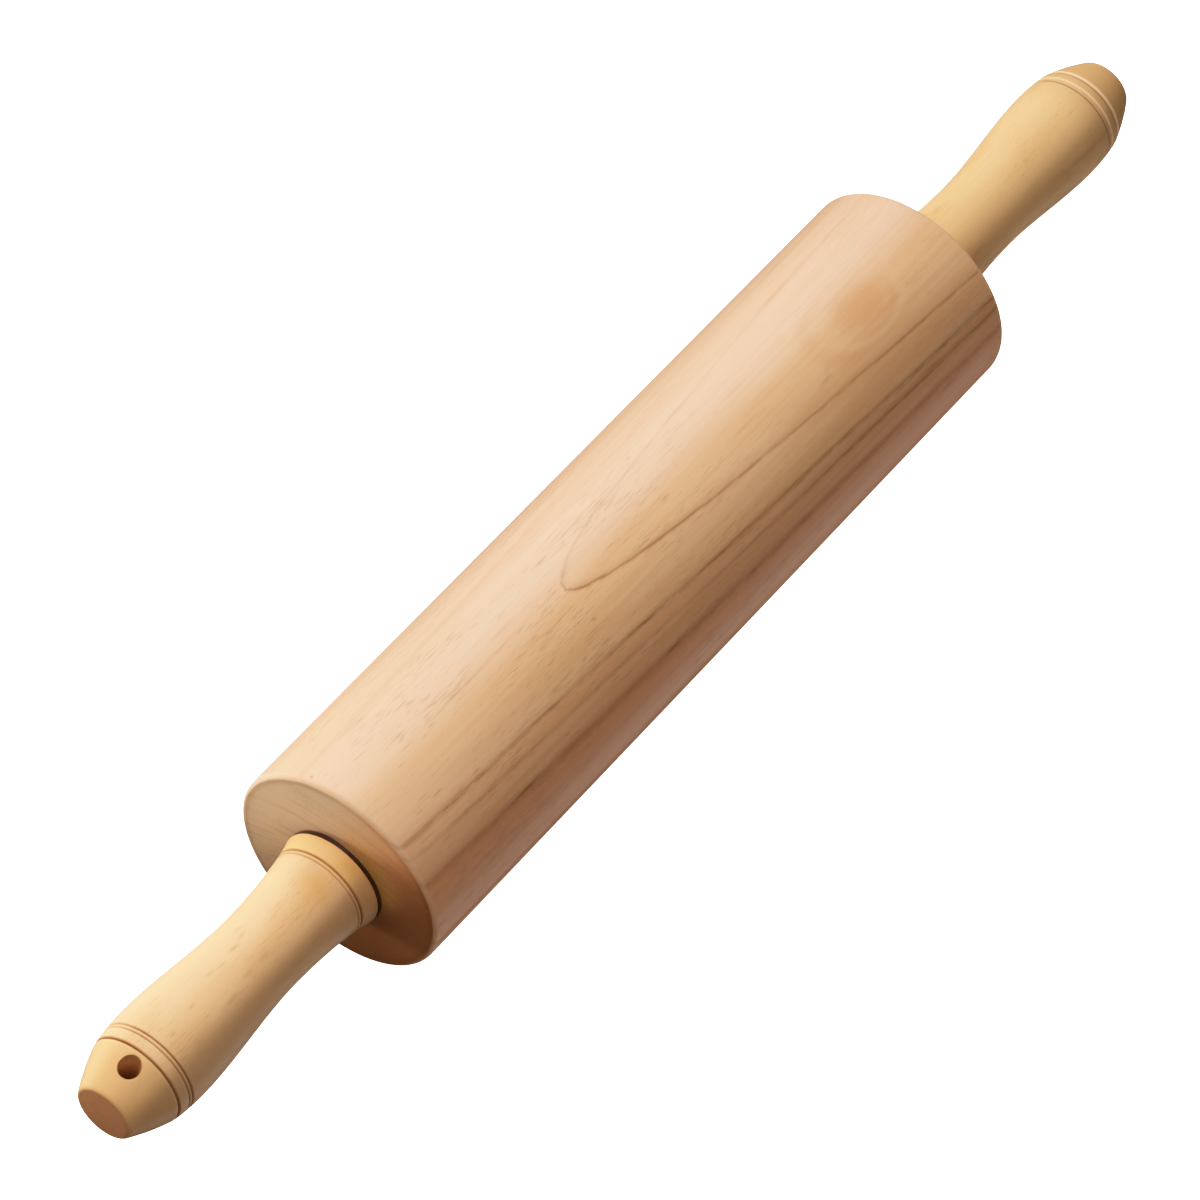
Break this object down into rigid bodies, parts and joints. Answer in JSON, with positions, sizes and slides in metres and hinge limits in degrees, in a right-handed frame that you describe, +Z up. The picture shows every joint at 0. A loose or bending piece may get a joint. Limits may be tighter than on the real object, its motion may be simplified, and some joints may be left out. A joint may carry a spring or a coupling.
{
  "type": "rolling pin",
  "caption": "Wooden rolling pin: a turned barrel revolves on a hidden steel rod between waisted handles with grooved tips, and a cross hole near a tip hangs it.",
  "frame": {"origin": "middle of the barrel, on the rod's axis", "axes": "+X along the rod from the handle with the hanging hole to the plain handle, +Z up along the hanging hole as the pin lies on a table"},
  "size_m": [0.419, 0.06, 0.06],
  "materials": {
    "barrel_wood": "fine sanded and oiled, satin",
    "handle_wood": "fine sanded and lacquered, satin",
    "rod_steel": "drawn bright",
    "bush_nylon": "moulded natural nylon",
    "insert_brass": "turned"
  },
  "bodies": {
    "handles": {"axle_rod": "rod_steel", "hanging_handle": "handle_wood", "plain_handle": "handle_wood", "near_insert": "insert_brass", "far_insert": "insert_brass", "near_washer": "rod_steel", "far_washer": "rod_steel"},
    "roller": {"barrel": "barrel_wood", "near_bush": "bush_nylon", "far_bush": "bush_nylon"}
  },
  "joints": [
    {"name": "barrel_spin", "type": "hinge", "parent": "handles", "child": "roller", "pos_m": [0, 0, 0], "axis": [1, 0, 0], "continuous": true}
  ]
}
